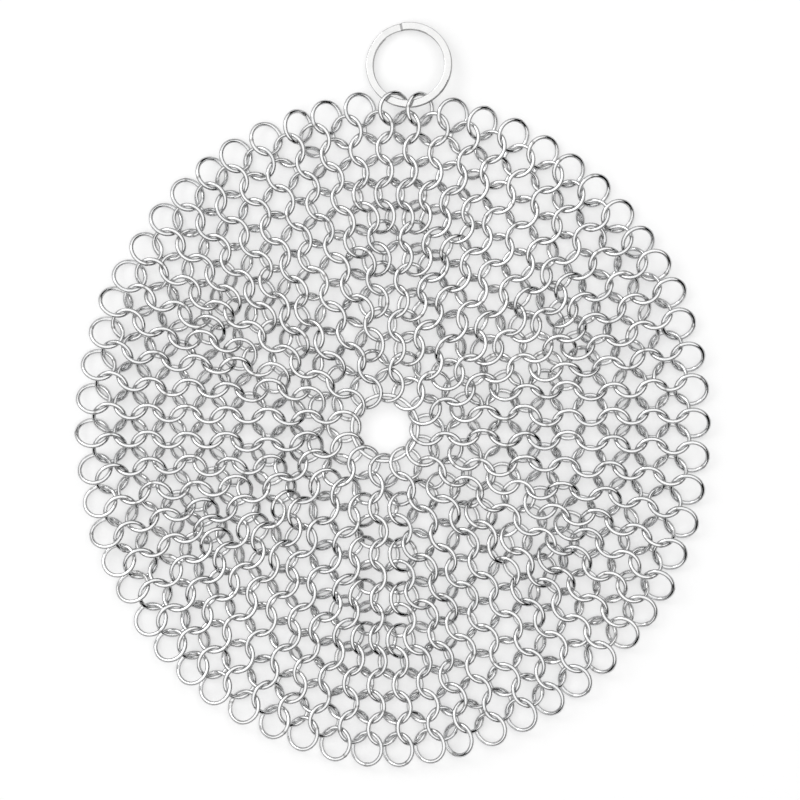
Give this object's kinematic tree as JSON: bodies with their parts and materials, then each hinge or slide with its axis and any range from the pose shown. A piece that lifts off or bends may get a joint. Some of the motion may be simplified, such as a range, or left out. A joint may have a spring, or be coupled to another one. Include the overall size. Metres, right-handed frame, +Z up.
{
  "type": "pot scrubber",
  "caption": "Round chain-mail pan scrubber of linked steel wire rings woven four-in-one round a larger centre ring, with a split ring to hang it by.",
  "frame": {"origin": "middle of the centre ring, on the plane that the mail lies on", "axes": "+Y towards the split ring, +Z up out of the mail, +X to the right seen from above"},
  "size_m": [0.1765, 0.2071, 0.0073],
  "materials": {
    "mail_wire": "polished round wire, welded shut",
    "centre_wire": "polished round wire, welded shut",
    "split_ring_wire": "bright nickel-plated flat wire"
  },
  "bodies": {
    "mail_centre": {"centre_ring": "centre_wire", "course_1_centre": "mail_wire", "course_2_centre": "mail_wire", "course_3_centre": "mail_wire", "course_4_centre": "mail_wire", "course_5_centre": "mail_wire", "course_6_centre": "mail_wire", "course_7_centre": "mail_wire"},
    "mail_left_1": {"course_2_left_1": "mail_wire", "course_3_left_1": "mail_wire", "course_4_left_1": "mail_wire", "course_5_left_1": "mail_wire", "course_6_left_1": "mail_wire", "course_7_left_1": "mail_wire"},
    "mail_left_2": {"course_4_left_2": "mail_wire", "course_5_left_2": "mail_wire", "course_6_left_2": "mail_wire", "course_7_left_2": "mail_wire"},
    "mail_left_3": {"course_6_left_3": "mail_wire", "course_7_left_3": "mail_wire"},
    "mail_right_1": {"course_2_right_1": "mail_wire", "course_3_right_1": "mail_wire", "course_4_right_1": "mail_wire", "course_5_right_1": "mail_wire", "course_6_right_1": "mail_wire", "course_7_right_1": "mail_wire"},
    "mail_right_2": {"course_4_right_2": "mail_wire", "course_5_right_2": "mail_wire", "course_6_right_2": "mail_wire", "course_7_right_2": "mail_wire"},
    "mail_right_3": {"course_6_right_3": "mail_wire", "course_7_right_3": "mail_wire"},
    "hanger_links": {"hanger_links": "mail_wire"},
    "split_ring": {"split_ring": "split_ring_wire"}
  },
  "joints": [
    {"name": "fold_left_1", "type": "hinge", "parent": "mail_centre", "child": "mail_left_1", "pos_m": [-0.02306, 0, 0.003], "axis": [0, 1, 0], "range_deg": [-13, 13]},
    {"name": "fold_left_2", "type": "hinge", "parent": "mail_left_1", "child": "mail_left_2", "pos_m": [-0.04482, 0, 0.0025], "axis": [0, 1, 0], "range_deg": [-11, 11]},
    {"name": "fold_left_3", "type": "hinge", "parent": "mail_left_2", "child": "mail_left_3", "pos_m": [-0.06772, 0, 0.003], "axis": [0, 1, 0], "range_deg": [-14, 14]},
    {"name": "fold_right_1", "type": "hinge", "parent": "mail_centre", "child": "mail_right_1", "pos_m": [0.02205, 0, 0.003], "axis": [0, -1, 0], "range_deg": [-12, 12]},
    {"name": "fold_right_2", "type": "hinge", "parent": "mail_right_1", "child": "mail_right_2", "pos_m": [0.04411, 0, 0.0025], "axis": [0, -1, 0], "range_deg": [-9, 9]},
    {"name": "fold_right_3", "type": "hinge", "parent": "mail_right_2", "child": "mail_right_3", "pos_m": [0.06742, 0, 0.002], "axis": [0, -1, 0], "range_deg": [-9, 9]},
    {"name": "hanger_swing", "type": "hinge", "parent": "mail_centre", "child": "hanger_links", "pos_m": [0.00268, 0.08613, 0.003], "axis": [1, 0, 0], "range_deg": [-15, 15]},
    {"name": "split_ring_swing", "type": "hinge", "parent": "hanger_links", "child": "split_ring", "pos_m": [0.00268, 0.09067, 0.00445], "axis": [1, 0, 0], "range_deg": [-18, 11]}
  ]
}
